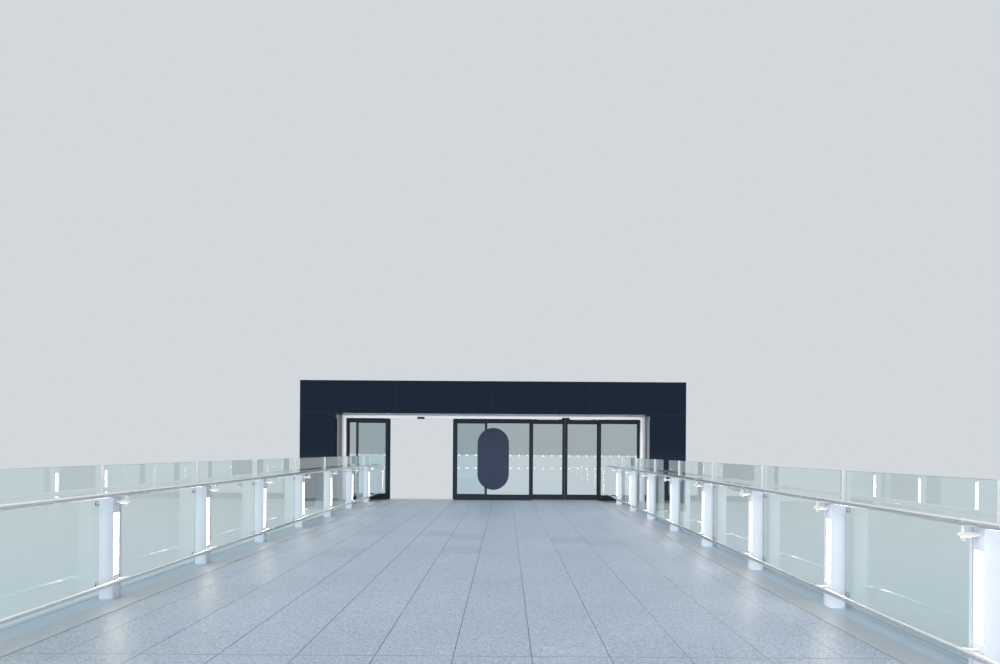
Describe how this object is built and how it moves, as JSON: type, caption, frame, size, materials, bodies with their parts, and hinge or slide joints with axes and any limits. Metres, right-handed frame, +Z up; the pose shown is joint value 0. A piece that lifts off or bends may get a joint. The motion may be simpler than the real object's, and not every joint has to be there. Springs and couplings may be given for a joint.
{
  "type": "pedestrian link bridge with entrance portal",
  "caption": "Straight open walkway bridge on steel girders and columns, with lit post and glass balustrades and a glazed end portal with sliding doors.",
  "frame": {"origin": "the ground under the middle of the bridge's bounding box", "axes": "+Y along the walkway towards the portal, +Z up, +X to the right as one walks in"},
  "size_m": [11.21, 16.565, 8.51],
  "materials": {
    "painted_steel": "satin off-white structural paint",
    "white_coat": "satin white powder coat",
    "anthracite_coat": "satin blue-grey powder coat",
    "dark_backing": "matt dark backing sheet",
    "concrete": "fair-faced concrete",
    "granite": "flamed light grey granite",
    "drain_metal": "satin aluminium plate",
    "kerb_metal": "satin light coat",
    "stainless": "brushed stainless steel",
    "bearing_steel": "matt grey primer",
    "light_diffuser": "glowing opal diffuser",
    "clear_glass": "laminated clear glass with a green edge",
    "door_glass": "clear double glazing",
    "dark_glass": "dark reflecting spandrel glass",
    "sensor_black": "black moulded cover"
  },
  "bodies": {
    "bridge": {"edge_beams": "painted_steel", "left_girder": "painted_steel", "right_girder": "painted_steel", "cross_beams": "painted_steel", "soffit_panels": "painted_steel", "outriggers": "painted_steel", "landing_brackets": "painted_steel", "near_crosshead": "painted_steel", "terminal_crosshead": "painted_steel", "near_columns": "painted_steel", "terminal_columns": "painted_steel", "left_posts": "white_coat", "right_posts": "white_coat", "portal_frame": "white_coat", "side_screens": "anthracite_coat", "centre_screen": "anthracite_coat", "door_track": "anthracite_coat", "fascia_box": "dark_backing", "left_cheek": "dark_backing", "right_cheek": "dark_backing", "deck_slab": "concrete", "landing_slab": "concrete", "granite_paving": "granite", "drain_covers": "drain_metal", "kerb_strips": "kerb_metal", "threshold": "stainless", "stanchions": "stainless", "glass_clamps": "stainless", "handrails": "stainless", "low_rails": "stainless", "rail_brackets": "stainless", "bearing_shoes": "bearing_steel", "post_lights": "light_diffuser", "left_glass": "clear_glass", "right_glass": "clear_glass", "screen_glass": "door_glass", "fascia_panels": "dark_glass", "cheek_panels": "dark_glass", "door_sensors": "sensor_black"},
    "left_outer_door": {"left_outer_leaf": "anthracite_coat", "left_outer_pane": "door_glass"},
    "left_inner_door": {"left_inner_leaf": "anthracite_coat", "left_inner_pane": "door_glass"},
    "right_outer_door": {"right_outer_leaf": "anthracite_coat", "right_outer_pane": "door_glass"},
    "right_inner_door": {"right_inner_leaf": "anthracite_coat", "right_inner_pane": "door_glass"}
  },
  "joints": [
    {"name": "left_outer_slide", "type": "slide", "parent": "bridge", "child": "left_outer_door", "axis": [1, 0, 0], "range_m": [0, 0.945]},
    {"name": "left_inner_slide", "type": "slide", "parent": "bridge", "child": "left_inner_door", "axis": [-1, 0, 0], "range_m": [0, 0.945]},
    {"name": "right_outer_slide", "type": "slide", "parent": "bridge", "child": "right_outer_door", "axis": [1, 0, 0], "range_m": [0, 0.945]},
    {"name": "right_inner_slide", "type": "slide", "parent": "bridge", "child": "right_inner_door", "axis": [-1, 0, 0], "range_m": [0, 0.945]}
  ],
  "couplings": [
    {"joint": "left_inner_slide", "follows": "left_outer_slide", "ratio": 1},
    {"joint": "right_inner_slide", "follows": "right_outer_slide", "ratio": 1}
  ]
}
